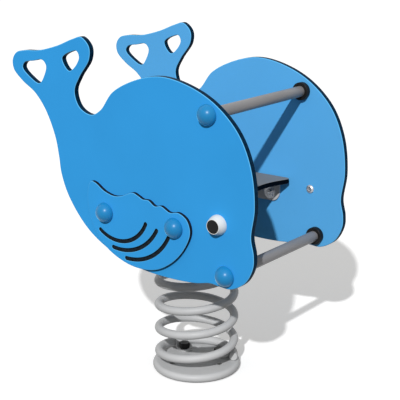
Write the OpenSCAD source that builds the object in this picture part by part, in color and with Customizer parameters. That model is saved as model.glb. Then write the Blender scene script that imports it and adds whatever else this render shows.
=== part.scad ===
// Spring rider: two whale-shaped side panels with a seat between them, on one coil spring.
// Origin: centre of the base disc, on the ground. +X is where the rider looks, +Y its left side.

/* [Side panels] */
// Clear width between the two side panels
panel_gap = 347; // [320:1:400]
// Thickness of a side panel
panel_t = 15; // [10:0.5:18]
// Length of a side panel, snout to tail
panel_l = 685; // [650:5:740]

/* [Fins] */
// Thickness of a fin plate
fin_t = 10; // [6:0.5:12]
// Length of a fin plate
fin_l = 292; // [280:1:300]
// Width of the grooves cut in a fin
groove_w = 9.5; // [5:0.5:10]
// Depth of the grooves cut in a fin
groove_h = 5; // [2:0.5:6]
// Place of the front fin bolt, ahead of the spring axis
fin_front_x = 93; // [84:1:100]
// Place of the rear fin bolt, behind the spring axis
fin_rear_x = 104; // [98:1:112]
// Drop of the fin bolts below the carrier web
fin_bolt_drop = 26; // [23:1:28]

/* [Seat] */
// Thickness of the seat board
seat_t = 12; // [10:0.5:20]
// Reach of the seat board ahead of the spring axis, at its corners
seat_front = 152; // [142:1:158]
// Reach of the seat board behind the spring axis
seat_rear = 165; // [150:1:180]
// Hollow of the seat's front edge
seat_hollow = 22; // [10:1:26]
// Gap between the seat board and a side panel
seat_side_gap = 4; // [1:0.5:8]

/* [Seat carrier] */
// Plate thickness of the carrier
carrier_t = 5; // [4:0.5:8]
// Reach of the carrier ahead of the spring axis
carrier_front = 119; // [116:1:126]
// Reach of the carrier behind the spring axis
carrier_rear = 145; // [135:1:150]
// Height of the carrier's side flanges below its web
flange_h = 46; // [42:1:60]
// Radius of the flanges' lower corners
flange_r = 22; // [8:1:30]
// Inside radius of the carrier's bends
bend_r = 5; // [3:0.5:8]

/* [Spring] */
// Outside diameter of the coil
spring_od = 200; // [180:1:215]
// Diameter of the spring wire
wire_d = 20; // [16:0.5:22]
// Height of the spring between the base disc and the carrier
spring_h = 420; // [360:5:460]
// Turns from tip to tip, with both closed ends
turns = 7.38; // [7:0.02:9]
// Direction of the lower tip, from +X
tip_angle = 25; // [0:1:40]

/* [Base] */
// Diameter of the base disc
base_d = 210; // [206:1:260]
// Thickness of the base disc
base_t = 20; // [14:1:25]
// Rounding of the disc's rim
base_rim_r = 9.5; // [2:0.5:10]
// Diameter of the ground anchor holes
anchor_d = 14; // [10:0.5:16]
// Circle of the ground anchor holes
anchor_pcd = 130; // [110:1:136]
// Direction of the first anchor hole, from +X
anchor_angle = 5; // [-10:1:15]

/* [Spring clamps] */
// Width of a spring clamp
clamp_w = 26; // [20:1:32]
// Plate thickness of a spring clamp
clamp_t = 6; // [4:0.5:8]
// Distance of a clamp stud from the spring axis
stud_r = 56; // [50:1:58]
// Direction of the clamp near the tip, from the tip on
clamp_near = 22; // [18:1:40]
// Direction of the far clamp, from the tip on
clamp_far = 134; // [120:1:140]
// Diameter of the clamp studs
stud_d = 12; // [10:1:14]

/* [Bars] */
// Diameter of the handle and foot tubes
tube_d = 25; // [22:0.5:32]
// Wall of the tubes
tube_wall = 2.5; // [2:0.5:3]
// Handle tube, ahead of the spring axis
handle_x = 173; // [150:1:185]
// Handle tube, above the carrier web
handle_z = 226; // [190:1:230]
// Foot tube, ahead of the spring axis
foot_x = 220; // [205:1:230]
// Foot tube, below the carrier web
foot_drop = 111; // [95:1:112]
// Diameter of the collars at the tube ends
collar_d = 41; // [38:0.5:46]
// Length of the collars at the tube ends
collar_l = 12; // [5:0.5:14]

/* [Bolts and caps] */
// Diameter of the panel bolts
bolt_d = 10; // [8:1:12]
// Diameter of the round bolt caps
cap_d = 46; // [44:0.5:50]
// Height of a bolt cap above its bolt head
cap_roof = 12; // [10:0.5:15]
// Diameter of the seat bolts
seat_bolt_d = 6; // [5:1:8]

/* [Eyes] */
// Diameter of an eye at the panel
eye_d = 44; // [40:0.5:48]
// Height of an eye
eye_h = 20; // [17:0.5:24]
// Diameter of a pupil
pupil_d = 29.5; // [22:0.5:32]
// Eyes, ahead of the spring axis
eye_x = 201; // [190:1:215]
// Eyes, below the underside of the carrier web
eye_drop = 2; // [-20:1:10]
// Diameter of the eye screws
eye_screw_d = 8; // [6:1:8]

/* [Hidden] */
$fn = 64;
// Diametral clearance of bolt holes, and gap that keeps the spring off its seats
hole_clear = 0.5;
spring_gap = 0.3;
clamp_gap = 2.2;
collar_gap = 0.3;
// Cutters pass this far beyond the faces that they cut
over = 1;

// Heights and side faces that the pieces share
web_z = base_t + spring_h;
inner_y = panel_gap / 2;
outer_y = inner_y + panel_t;
fin_y = outer_y + fin_t;

// Proportions of standard bolts: hex width, head height, nut height and washer
function hex_w(d) = 1.6 * d;
function head_h(d) = 0.6 * d;
function nut_h(d) = 0.8 * d;
function washer_d(d) = 3 * d;
washer_t = 2;

// Cap base ring that carries a bolt cap
cap_neck = 2.5;
cap_base_d = cap_d - 2 * cap_neck;
cap_base_t = 3;
cap_lift = 2;
cap_fit = 0.4;
cap_wall = 3;
cap_room = cap_base_t + head_h(bolt_d) + 1;
cap_h = cap_room + cap_roof;

// Fin bolts pass the fin, the panel and the carrier flange; tube bolts end in the tube plugs
fin_bolt_l = cap_base_t + fin_t + panel_t + carrier_t + washer_t + nut_h(bolt_d) + 2;
plug_l = 24;
plug_grip = 18;
tube_bolt_l = cap_base_t + panel_t + plug_grip;
fin_sites = [[fin_front_x, -fin_bolt_drop], [-fin_rear_x, -fin_bolt_drop]];

// Side panels are drawn at a length of 685 mm; what sits on their outline moves with it
outline_l = 685;
panel_scale = panel_l / outline_l;
tube_sites = panel_scale * [[handle_x, handle_z], [foot_x, -foot_drop]];
eye_site = panel_scale * [eye_x, -eye_drop];

// Seat corners, wings beside the hollow front edge, and seat bolts that stand off the flanges near the carrier's ends
seat_front_r = 9;
seat_rear_r = 30;
seat_wing = 65;
seat_wing_r = 150;
seat_bolt_edge = 28;
seat_bolt_y = inner_y - carrier_t - bend_r - seat_bolt_edge;
seat_bolt_sites = [for (x = [carrier_front - seat_bolt_edge, seat_bolt_edge - carrier_rear], y = [-1, 1])
    [x, y * seat_bolt_y]];
insert_wall = 3;
insert_l = seat_t - 2;

// Side panel outline, forward and up from the carrier web
whale = [
    [48, 292], [120, 281], [190, 250], [249, 196], [281, 128], [291, 47],
    [283, -17], [290, -52], [289, -80], [270, -116], [233, -138], [205, -138], [180, -136],
    [140, -144], [60, -148], [-20, -142], [-100, -119], [-170, -78], [-226, -12],
    [-248, 40], [-254, 80], [-264, 125], [-292, 184], [-324, 220], [-362, 243],
    [-390, 268], [-393, 290], [-380, 308], [-352, 315], [-310, 318], [-250, 333], [-200, 352],
    [-174, 358], [-151, 338], [-152, 310], [-182, 269], [-198, 236], [-185, 202],
    [-150, 188], [-122, 202], [-86, 245], [-20, 278]
];
tail_holes = [
    [[-360, 275], [-353, 287], [-324, 293], [-296, 297], [-285, 285], [-292, 262], [-308, 243], [-336, 254]],
    [[-233, 306], [-226, 314], [-206, 323], [-189, 326], [-182, 313], [-194, 292], [-212, 280], [-225, 289]]
];

// Fin outline, drawn for a 292 mm fin: tip, wavy upper edge, nose and belly edge
fin_outline_l = 292;
fin_scale = fin_l / fin_outline_l;
fin_knots = [
    [-158, 8], [-147, 39], [-134, 38], [-108, 23], [-80, 16], [-58, 19], [-24, 32],
    [-8, 27], [4, 22], [20, 22], [38, 12], [55, 15], [79, 5], [103, 8], [125, -4],
    [134, -30], [121, -65], [88, -104], [41, -132], [-10, -139], [-60, -130], [-110, -104], [-146, -58]
];
// Fin grooves: centre, radius, and first and last direction of each arc
grooves = [
    [[-69, 2], 88, -126, -23.5],
    [[-63, 15], 120, -99.5, -28.5],
    [[-39, 6], 128, -92.5, -27.5]
];

// Eye: rim and rounding around the pupil, and the seat of the pupil
eye_rim = 0.5;
eye_fillet = 1.2;
eye_steps = 6;
pupil_t = 2;
pupil_in = 1.5;
pupil_fit = 0.2;
eye_bore_l = 11;

// Clamp studs end above their nuts, under the nut caps
stud_l = clamp_t + nut_h(stud_d) + 3;
nut_cap_wall = 1.3;

// Spring path: closed part of a turn, easing part, and rise of a free turn
closed_turn = 0.23;
ease_turn = 0.2;
coil_r = (spring_od - wire_d) / 2;
coil_z0 = base_t + spring_gap + wire_d / 2;
coil_z1 = web_z - spring_gap - wire_d / 2;
pitch = (coil_z1 - coil_z0) / (turns - 2 * closed_turn - ease_turn);
turn_rings = 24;
wire_sides = 8;
rings = ceil(turns * turn_rings);

// Closed smooth curve through knots: a cubic on each span, its slopes taken from the neighbour knots
function knot(k, i) = k[(i + len(k)) % len(k)];
function span(k, i) = sqrt(norm(knot(k, i + 1) - knot(k, i)));
function slope(k, i) =
    let (a = span(k, i - 1), b = span(k, i))
    ((knot(k, i) - knot(k, i - 1)) * b / a + (knot(k, i + 1) - knot(k, i)) * a / b) / (a + b);
function on_span(k, i, t) =
    (2 * t ^ 3 - 3 * t ^ 2 + 1) * knot(k, i) + (t ^ 3 - 2 * t ^ 2 + t) * span(k, i) * slope(k, i)
    + (3 * t ^ 2 - 2 * t ^ 3) * knot(k, i + 1) + (t ^ 3 - t ^ 2) * span(k, i) * slope(k, i + 1);
function smooth(k, steps = 5) = [for (i = [0 : len(k) - 1], s = [0 : steps - 1]) on_span(k, i, s / steps)];

// Closed outline with an arc at each corner: corners are [x, y, radius]
function unit(v) = v / norm(v);
function xy(c) = [c[0], c[1]];
function corner_arc(a, b, c, r, steps) =
    let (u = unit(a - b), v = unit(c - b), half = acos(u * v) / 2, mid = unit(u + v))
    let (centre = b + mid * r / sin(half), p = b + u * r / tan(half) - centre)
    let (turn = (u[0] * v[1] - u[1] * v[0] > 0 ? -1 : 1) * (180 - 2 * half))
    [for (s = [0 : steps]) let (w = turn * s / steps)
        centre + [p[0] * cos(w) - p[1] * sin(w), p[0] * sin(w) + p[1] * cos(w)]];
function rounded(cs, steps = 8) = [for (i = [0 : len(cs) - 1])
    each corner_arc(xy(knot(cs, i - 1)), xy(cs[i]), xy(knot(cs, i + 1)), cs[i][2], steps)];

// Slot of width w along an arc from direction a to b, with round ends
function polar(r, a) = r * [cos(a), sin(a)];
function arc(c, r, a, b, steps) = [for (i = [0 : steps]) c + polar(r, a + (b - a) * i / steps)];
function arc_slot(c, r, a, b, w) = concat(
    arc(c, r + w / 2, a, b, 12), arc(c + polar(r, b), w / 2, b + 20, b + 160, 6),
    arc(c, r - w / 2, b, a, 12), arc(c + polar(r, a), w / 2, a + 200, a + 340, 6));

// Rise of the wire after t turns from a closed end, and the wire's centre line
function rise(t) =
    t < closed_turn ? 0
    : t < closed_turn + ease_turn ? pitch * (t - closed_turn) ^ 2 / (2 * ease_turn)
    : pitch * (t - closed_turn - ease_turn / 2);
function wire_z(t) = t < turns / 2 ? coil_z0 + rise(t) : coil_z1 - rise(turns - t);
function wire_at(t) =
    [coil_r * cos(tip_angle + 360 * t), coil_r * sin(tip_angle + 360 * t), wire_z(t)];
function wire_way(t) = unit(wire_at(t + 0.002) - wire_at(t - 0.002));
function wire_ring(t) =
    let (c = wire_at(t), out = [cos(tip_angle + 360 * t), sin(tip_angle + 360 * t), 0])
    let (up = cross(out, wire_way(t)))
    [for (i = [0 : wire_sides - 1]) let (a = 360 * i / wire_sides)
        c + wire_d / 2 * (cos(a) * out + sin(a) * unit(up))];

// Least distance between wire surfaces of neighbouring turns, measured on the centre line points
spring_path = [for (i = [0 : rings]) wire_at(turns * i / rings)];
spring_self_gap = min([for (i = [0 : rings], j = [i + turn_rings / 2 : min(rings, i + 2 * turn_rings)])
    norm(spring_path[i] - spring_path[j])]) - wire_d;
echo(spring_self_gap = spring_self_gap);

// Side outlines are drawn in x and z, and grow outward on the right-hand side from the face at y
module side_plate(y, t) {
    translate([0, -y, web_z]) rotate([90, 0, 0]) linear_extrude(t) children();
}

// Round pieces on an axis across the rider: local z points outward on the right-hand side
module across(site, y) {
    translate([site[0], -y, web_z + site[1]]) rotate([90, 0, 0]) children();
}

module left_side() {
    mirror([0, 1, 0]) children();
}

module both_sides() {
    children();
    left_side() children();
}

module hex(d, h) {
    cylinder(d = d / cos(30), h = h, $fn = 6);
}

module ring(od, id, h) {
    difference() {
        cylinder(d = od, h = h);
        translate([0, 0, -over]) cylinder(d = id, h = h + 2 * over);
    }
}

module hex_nut(d) {
    difference() {
        hex(hex_w(d), nut_h(d));
        translate([0, 0, -over]) cylinder(d = d + hole_clear / 2, h = nut_h(d) + 2 * over);
    }
}

module hex_bolt(d, l) {
    translate([0, 0, -l]) cylinder(d = d, h = l);
    hex(hex_w(d), head_h(d));
}

// Base: a disc with a rounded rim and three holes for ground anchors
module base_disc() {
    rim_r = min(base_rim_r, 0.48 * base_t);
    color("silver") difference() {
        rotate_extrude() {
            square([base_d / 2 - rim_r, base_t]);
            translate([0, rim_r]) square([base_d / 2, base_t - 2 * rim_r]);
            for (z = [rim_r, base_t - rim_r]) translate([base_d / 2 - rim_r, z]) circle(rim_r);
        }
        for (a = [0 : 120 : 240]) rotate(anchor_angle + a)
            translate([anchor_pcd / 2, 0, -over]) cylinder(d = anchor_d, h = base_t + 2 * over);
    }
}

// Spring clamps: a foot plate on its stud, and a lip that curls over the end coil's inner side
module clamp(wire_height) {
    lip_r = wire_d / 2 + clamp_gap;
    lip_angle = 2 * asin(clamp_w / 2 / coil_r);
    foot_in = stud_r - clamp_w / 2;
    foot_out = coil_r - lip_r - 0.4 * clamp_t;
    difference() {
        translate([foot_in, -clamp_w / 2, 0]) cube([foot_out - foot_in, clamp_w, clamp_t]);
        translate([stud_r, 0, -over]) cylinder(d = stud_d + hole_clear, h = clamp_t + 2 * over);
    }
    rotate(-lip_angle / 2) rotate_extrude(angle = lip_angle) intersection() {
        difference() {
            union() {
                translate([coil_r, wire_height]) circle(lip_r + clamp_t);
                translate([coil_r - lip_r - clamp_t, 0]) square([clamp_t, wire_height]);
            }
            translate([coil_r, wire_height]) circle(lip_r);
            translate([coil_r - lip_r, -over]) square([2 * lip_r, wire_height + over]);
        }
        square([coil_r + wire_d / 8, wire_height + lip_r + clamp_t]);
    }
}

// Clamps stand at two directions on an end coil, counted from the wire's tip
module at_clamps() {
    for (a = [clamp_near, clamp_far]) rotate(tip_angle + a) {
        $wire_height = spring_gap + wire_d / 2 + rise(a / 360);
        children();
    }
}

module on_base() {
    translate([0, 0, base_t]) at_clamps() children();
}

// The upper end is the lower one turned over, so that its tip lies where the wire ends under the carrier web
module under_web() {
    upper_tip = tip_angle + 360 * turns;
    translate([0, 0, web_z]) rotate(upper_tip) rotate([180, 0, 0]) rotate(-tip_angle) at_clamps() children();
}

module clamp_stud() {
    translate([stud_r, 0, 0]) cylinder(d = stud_d, h = stud_l);
}

module clamp_nut() {
    translate([stud_r, 0, clamp_t]) hex_nut(stud_d);
}

module nut_cap() {
    inside = hex_w(stud_d) + hole_clear;
    room = stud_l - clamp_t + hole_clear;
    translate([stud_r, 0, clamp_t]) difference() {
        hex(inside + 2 * nut_cap_wall, room + nut_cap_wall);
        translate([0, 0, -over]) hex(inside, room + over);
    }
}

module lower_clamps() {
    color("silver") on_base() clamp($wire_height);
}

module lower_studs() {
    color("gray") on_base() clamp_stud();
}

module lower_nuts() {
    color("gray") on_base() clamp_nut();
}

module lower_nut_caps() {
    color("black") on_base() nut_cap();
}

module upper_clamps() {
    color("silver") under_web() clamp($wire_height);
}

module upper_studs() {
    color("gray") under_web() clamp_stud();
}

module upper_nuts() {
    color("gray") under_web() clamp_nut();
}

// Coil spring: one tube swept along the wire's centre line
module spring() {
    points = [for (i = [0 : rings]) each wire_ring(turns * i / rings)];
    n = wire_sides;
    sides = [for (i = [0 : rings - 1], j = [0 : n - 1])
        let (a = i * n + j, b = i * n + (j + 1) % n)
        each [[a, a + n, b], [b, a + n, b + n]]];
    caps = [for (j = [1 : n - 2]) each [[0, j, j + 1], [rings * n, rings * n + j + 1, rings * n + j]]];
    color("lightgray") polyhedron(points = points, faces = concat(sides, caps));
}

// Seat carrier: a bent plate whose web lies on the spring and whose flanges take the fin bolts
module carrier_section() {
    r = bend_r + carrier_t;
    difference() {
        union() {
            translate([r - inner_y, -flange_h]) square([2 * (inner_y - r), flange_h + carrier_t]);
            translate([-inner_y, -flange_h]) square([2 * inner_y, flange_h + carrier_t - r]);
            for (s = [-1, 1]) translate([s * (inner_y - r), carrier_t - r]) circle(r);
        }
        translate([r - inner_y, -flange_h - over]) square([2 * (inner_y - r), flange_h + over]);
        translate([carrier_t - inner_y, -flange_h - over])
            square([2 * (inner_y - carrier_t), flange_h + over - bend_r]);
        for (s = [-1, 1]) translate([s * (inner_y - r), -bend_r]) circle(bend_r);
    }
}

module carrier_profile() {
    polygon(rounded([
        [-carrier_rear, carrier_t, 0.5], [carrier_front, carrier_t, 0.5],
        [carrier_front, -flange_h, flange_r], [-carrier_rear, -flange_h, flange_r]
    ]));
}

module seat_carrier() {
    color("silver") difference() {
        intersection() {
            translate([-carrier_rear, 0, web_z]) rotate([90, 0, 90])
                linear_extrude(carrier_rear + carrier_front) carrier_section();
            side_plate(-inner_y, 2 * inner_y) carrier_profile();
        }
        both_sides() for (s = fin_sites)
            across(s, inner_y - carrier_t - over) cylinder(d = bolt_d + hole_clear, h = carrier_t + 2 * over);
        for (s = seat_bolt_sites)
            translate([s[0], s[1], web_z - over])
                cylinder(d = seat_bolt_d + hole_clear, h = carrier_t + 2 * over);
    }
}

// Seat
module seat() {
    half = inner_y - seat_side_gap;
    hollow_x = seat_front - seat_hollow;
    color("dimgray") difference() {
        translate([0, 0, web_z + carrier_t]) linear_extrude(seat_t) polygon(rounded([
            [-seat_rear, -half, seat_rear_r], [seat_front, -half, seat_front_r],
            [hollow_x, seat_wing - half, seat_wing_r], [hollow_x, half - seat_wing, seat_wing_r],
            [seat_front, half, seat_front_r], [-seat_rear, half, seat_rear_r]
        ]));
        for (s = seat_bolt_sites)
            translate([s[0], s[1], web_z + carrier_t - over])
                cylinder(d = seat_bolt_d + 2 * insert_wall, h = insert_l + over);
    }
}

module seat_bolts() {
    grip = carrier_t + insert_l - 1;
    color("gray") for (s = seat_bolt_sites)
        translate([s[0], s[1], web_z]) rotate([180, 0, 0]) hex_bolt(seat_bolt_d, grip);
}

module seat_inserts() {
    color("goldenrod") for (s = seat_bolt_sites)
        translate([s[0], s[1], web_z + carrier_t])
            ring(seat_bolt_d + 2 * insert_wall, seat_bolt_d + hole_clear / 2, insert_l);
}

// Side panels
module panel() {
    difference() {
        side_plate(inner_y, panel_t) difference() {
            polygon(smooth(panel_scale * whale));
            for (h = tail_holes) polygon(smooth(panel_scale * h, 4));
        }
        for (s = concat(fin_sites, tube_sites))
            across(s, inner_y - over) cylinder(d = bolt_d + hole_clear, h = panel_t + 2 * over);
        across(eye_site, inner_y - over)
            cylinder(d = eye_screw_d + hole_clear, h = panel_t + 2 * over);
    }
}

module right_panel() {
    color("dodgerblue") panel();
}

module left_panel() {
    color("dodgerblue") left_side() panel();
}

// Fins
module fin() {
    difference() {
        side_plate(outer_y, fin_t) polygon(smooth(fin_scale * fin_knots, 4));
        side_plate(fin_y - groove_h, groove_h + over)
            for (g = grooves) polygon(arc_slot(fin_scale * g[0], fin_scale * g[1], g[2], g[3], groove_w));
        for (s = fin_sites)
            across(s, outer_y - over) cylinder(d = bolt_d + hole_clear, h = fin_t + 2 * over);
    }
}

module right_fin() {
    color("deepskyblue") fin();
}

module left_fin() {
    color("deepskyblue") left_side() fin();
}

// Fin bolts, with their washers and nuts inside the carrier flanges
module fin_bolts() {
    color("gray") both_sides() for (s = fin_sites)
        across(s, fin_y + cap_base_t) hex_bolt(bolt_d, fin_bolt_l);
}

module fin_washers() {
    color("silver") both_sides() for (s = fin_sites)
        across(s, inner_y - carrier_t - washer_t) ring(washer_d(bolt_d), bolt_d + hole_clear, washer_t);
}

module fin_nuts() {
    color("gray") both_sides() for (s = fin_sites)
        across(s, inner_y - carrier_t - washer_t - nut_h(bolt_d)) hex_nut(bolt_d);
}

// Handle and foot tubes between the panels
module tube(site) {
    across(site, -inner_y) ring(tube_d, tube_d - 2 * tube_wall, panel_gap);
}

module handle_tube() {
    color("darkgray") tube(tube_sites[0]);
}

module foot_tube() {
    color("darkgray") tube(tube_sites[1]);
}

module tube_plugs() {
    color("gray") both_sides() for (s = tube_sites)
        across(s, inner_y - plug_l) ring(tube_d - 2 * tube_wall, bolt_d + hole_clear / 2, plug_l);
}

module tube_collars() {
    edge = 2;
    color("black") both_sides() for (s = tube_sites)
        across(s, inner_y - collar_l) difference() {
            union() {
                translate([0, 0, edge]) cylinder(d = collar_d, h = collar_l - edge);
                cylinder(d1 = collar_d - 2 * edge, d2 = collar_d, h = edge);
            }
            translate([0, 0, -over]) cylinder(d = tube_d + 2 * collar_gap, h = collar_l + 2 * over);
        }
}

module tube_bolts() {
    color("gray") both_sides() for (s = tube_sites)
        across(s, outer_y + cap_base_t) hex_bolt(bolt_d, tube_bolt_l);
}

// Bolt caps: a base ring under each bolt head, and a round cap that snaps over it
module at_caps() {
    both_sides() {
        for (s = fin_sites) across(s, fin_y) children();
        for (s = tube_sites) across(s, outer_y) children();
    }
}

module cap_bases() {
    color("dodgerblue") at_caps() ring(cap_base_d, bolt_d + hole_clear, cap_base_t);
}

module bolt_caps() {
    dome_h = cap_h - cap_lift;
    dome_r = (cap_d ^ 2 / 4 + dome_h ^ 2) / (2 * dome_h);
    color("dodgerblue") at_caps() difference() {
        rotate_extrude() intersection() {
            translate([0, cap_h - dome_r]) circle(dome_r);
            translate([0, cap_lift]) square([cap_d / 2, dome_h]);
        }
        cylinder(d = cap_base_d + cap_fit, h = cap_base_t);
        translate([0, 0, cap_h - dome_r]) sphere(dome_r - cap_wall);
    }
}

// Eyes: a white button with a black pupil let into its end, screwed on from inside the panel
module eye() {
    top_r = pupil_d / 2 + eye_rim + eye_fillet;
    side_h = eye_h - eye_fillet;
    across(eye_site, outer_y) difference() {
        rotate_extrude() {
            polygon(concat([[0, 0]],
                [for (i = [0 : eye_steps]) [top_r + (eye_d / 2 - top_r) * cos(90 * i / eye_steps), side_h * i / eye_steps]],
                [[0, side_h]]));
            translate([0, side_h - over]) square([top_r - eye_fillet, eye_fillet + over]);
            translate([top_r - eye_fillet, side_h]) intersection() {
                circle(eye_fillet);
                square(eye_fillet);
            }
        }
        translate([0, 0, eye_h - pupil_in]) cylinder(d = pupil_d + pupil_fit, h = pupil_in + over);
        translate([0, 0, -over]) cylinder(d = eye_screw_d + hole_clear / 2, h = eye_bore_l + over);
    }
}

module pupil() {
    across(eye_site, outer_y + eye_h - pupil_in) cylinder(d = pupil_d, h = pupil_t);
}

module right_eye() {
    color("white") eye();
}

module left_eye() {
    color("white") left_side() eye();
}

module right_pupil() {
    color("black") pupil();
}

module left_pupil() {
    color("black") left_side() pupil();
}

module eye_screws() {
    head_d = 2.5 * eye_screw_d;
    head = head_h(eye_screw_d);
    socket_w = eye_screw_d;
    color("silver") both_sides() across(eye_site, inner_y) {
        cylinder(d = eye_screw_d, h = panel_t + eye_bore_l - 1);
        difference() {
            translate([0, 0, -head]) intersection() {
                cylinder(d = head_d, h = head);
                translate([0, 0, 0.54 * head_d]) sphere(d = 1.25 * head_d);
            }
            translate([0, 0, -head - over]) hex(socket_w, head / 2 + over);
        }
    }
}

base_disc();
lower_clamps();
lower_studs();
lower_nuts();
lower_nut_caps();
spring();
upper_clamps();
upper_studs();
upper_nuts();
seat_carrier();
seat();
seat_bolts();
seat_inserts();
right_panel();
left_panel();
right_fin();
left_fin();
fin_bolts();
fin_washers();
fin_nuts();
handle_tube();
foot_tube();
tube_plugs();
tube_collars();
tube_bolts();
cap_bases();
bolt_caps();
right_eye();
left_eye();
right_pupil();
left_pupil();
eye_screws();
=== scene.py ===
import math

import bmesh
import bpy
import numpy as np
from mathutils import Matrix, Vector
from mathutils.geometry import tessellate_polygon


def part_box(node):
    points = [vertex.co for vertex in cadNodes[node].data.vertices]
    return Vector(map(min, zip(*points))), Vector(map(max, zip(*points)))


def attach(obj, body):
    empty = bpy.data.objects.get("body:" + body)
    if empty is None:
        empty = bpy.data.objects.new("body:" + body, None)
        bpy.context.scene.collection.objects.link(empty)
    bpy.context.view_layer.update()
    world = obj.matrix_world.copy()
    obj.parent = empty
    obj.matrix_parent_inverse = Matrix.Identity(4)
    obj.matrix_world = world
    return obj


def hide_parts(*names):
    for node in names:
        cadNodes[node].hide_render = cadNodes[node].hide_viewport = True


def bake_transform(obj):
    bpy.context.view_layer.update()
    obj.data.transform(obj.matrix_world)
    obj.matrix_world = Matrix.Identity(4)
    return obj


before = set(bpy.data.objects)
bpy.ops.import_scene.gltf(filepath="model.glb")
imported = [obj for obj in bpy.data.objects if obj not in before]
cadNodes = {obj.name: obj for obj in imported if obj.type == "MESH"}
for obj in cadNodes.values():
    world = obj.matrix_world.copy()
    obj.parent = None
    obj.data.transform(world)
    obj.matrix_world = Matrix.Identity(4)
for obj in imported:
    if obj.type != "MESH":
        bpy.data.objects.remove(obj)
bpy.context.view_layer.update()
mm = 0.001


# Camera, light and floor

cameraSet = {
    "azimuth": 37.188,                      # degrees round from the rider's right side towards the front
    "elevation": 15.51,
    "place": (1.4583, -1.9082, 1.0824),
    "focalPixels": 1074.18,                 # focal length in pixels of the 400 pixel frame
    "framePixels": 400,
    "sensor": 36.0,
}

camera = bpy.data.objects.new("camera", bpy.data.cameras.new("camera"))
bpy.context.scene.collection.objects.link(camera)
camera.data.sensor_width = cameraSet["sensor"]
camera.data.lens = cameraSet["sensor"] * cameraSet["focalPixels"] / cameraSet["framePixels"]
camera.location = cameraSet["place"]
camera.rotation_euler = (math.radians(90 - cameraSet["elevation"]), 0, math.radians(cameraSet["azimuth"]))
bpy.context.scene.camera = camera

lightSet = {
    "towardsSun": (0.360, -0.741, 0.566),   # from the ground shadow of both panels
    "sunStrength": 3.05,
    "sunAngle": 1.2,                        # degrees, sets how soft the shadow edges are
    "skyLight": (0.378, 0.374, 0.366),      # what the sky gives to matt surfaces, a little warm
    "floorBounce": 0.10,                    # how much light the floor sends back up
    "floorWhite": 1.22,                     # brings the sunlit floor to white
    "floorShade": 0.74,                     # how much of the shadow shows on the floor
    "floorSize": 30.0,
}

sun = bpy.data.objects.new("sun", bpy.data.lights.new("sun", "SUN"))
bpy.context.scene.collection.objects.link(sun)
sun.data.energy = lightSet["sunStrength"]
sun.data.angle = math.radians(lightSet["sunAngle"])
sun.rotation_mode = "QUATERNION"
sun.rotation_quaternion = Vector(lightSet["towardsSun"]).to_track_quat("Z", "Y")


# Math node on two values, each a number, another node's output or nothing
def math2(tree, operation, first, second):
    step = tree.nodes.new("ShaderNodeMath")
    step.operation = operation
    for socket, value in zip(step.inputs, (first, second)):
        if isinstance(value, (int, float)):
            socket.default_value = value
        elif value is not None:
            tree.links.new(value, socket)
    return step.outputs[0]


# 1 for rays that show a surface directly, in a mirror or through glass, 0 for rays that light it
def seenRay(tree):
    path = tree.nodes.new("ShaderNodeLightPath").outputs
    direct = math2(tree, "MAXIMUM", path["Is Camera Ray"], path["Is Glossy Ray"])
    return math2(tree, "MAXIMUM", direct, path["Is Transmission Ray"])


world = bpy.data.worlds.new("studio")
bpy.context.scene.world = world
world.use_nodes = True
tree = world.node_tree
sky = tree.nodes["Background"]
skyColour = tree.nodes.new("ShaderNodeMix")
skyColour.data_type = "RGBA"
skyColour.inputs["A"].default_value = lightSet["skyLight"] + (1,)
skyColour.inputs["B"].default_value = (1, 1, 1, 1)              # white, in mirrors too
tree.links.new(seenRay(tree), skyColour.inputs["Factor"])
tree.links.new(skyColour.outputs["Result"], sky.inputs["Color"])

floorMesh = bpy.data.meshes.new("floor")
reach = lightSet["floorSize"] / 2
floorCorners = [(-reach, -reach, 0), (reach, -reach, 0), (reach, reach, 0), (-reach, reach, 0)]
floorMesh.from_pydata(floorCorners, [], [(0, 1, 2, 3)])
floor = bpy.data.objects.new("floor", floorMesh)
bpy.context.scene.collection.objects.link(floor)
floorPaint = bpy.data.materials.new("floorPaint")
floorPaint.use_nodes = True
tree = floorPaint.node_tree
tree.nodes.clear()
bounce = tree.nodes.new("ShaderNodeBsdfDiffuse")
bounce.inputs["Color"].default_value = (lightSet["floorBounce"],) * 3 + (1,)
matt = tree.nodes.new("ShaderNodeBsdfDiffuse")
matt.inputs["Color"].default_value = (lightSet["floorWhite"],) * 3 + (1,)
white = tree.nodes.new("ShaderNodeEmission")
shown = tree.nodes.new("ShaderNodeMixShader")
shown.inputs[0].default_value = lightSet["floorShade"]
tree.links.new(white.outputs[0], shown.inputs[1])
tree.links.new(matt.outputs[0], shown.inputs[2])
either = tree.nodes.new("ShaderNodeMixShader")
tree.links.new(seenRay(tree), either.inputs[0])
tree.links.new(bounce.outputs[0], either.inputs[1])
tree.links.new(shown.outputs[0], either.inputs[2])
floorOut = tree.nodes.new("ShaderNodeOutputMaterial")
tree.links.new(either.outputs[0], floorOut.inputs["Surface"])
floorMesh.materials.append(floorPaint)

bpy.context.scene.view_settings.view_transform = "Standard"
print("stage ready")


# Finishes

# A new material's node tree, its main shader, and its object coordinates
def newFinish(name):
    finish = bpy.data.materials.new(name)
    finish.use_nodes = True
    place = finish.node_tree.nodes.new("ShaderNodeTexCoord")
    return finish, finish.node_tree, finish.node_tree.nodes["Principled BSDF"], place


# value carried from the range fromLow..fromHigh to toLow..toHigh, eased at both ends
def ranged(tree, value, fromLow, fromHigh, toLow, toHigh):
    step = tree.nodes.new("ShaderNodeMapRange")
    step.interpolation_type = "SMOOTHSTEP"
    tree.links.new(value, step.inputs["Value"])
    names = ("From Min", "From Max", "To Min", "To Max")
    for name, number in zip(names, (fromLow, fromHigh, toLow, toHigh)):
        step.inputs[name].default_value = number
    return step.outputs[0]


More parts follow.
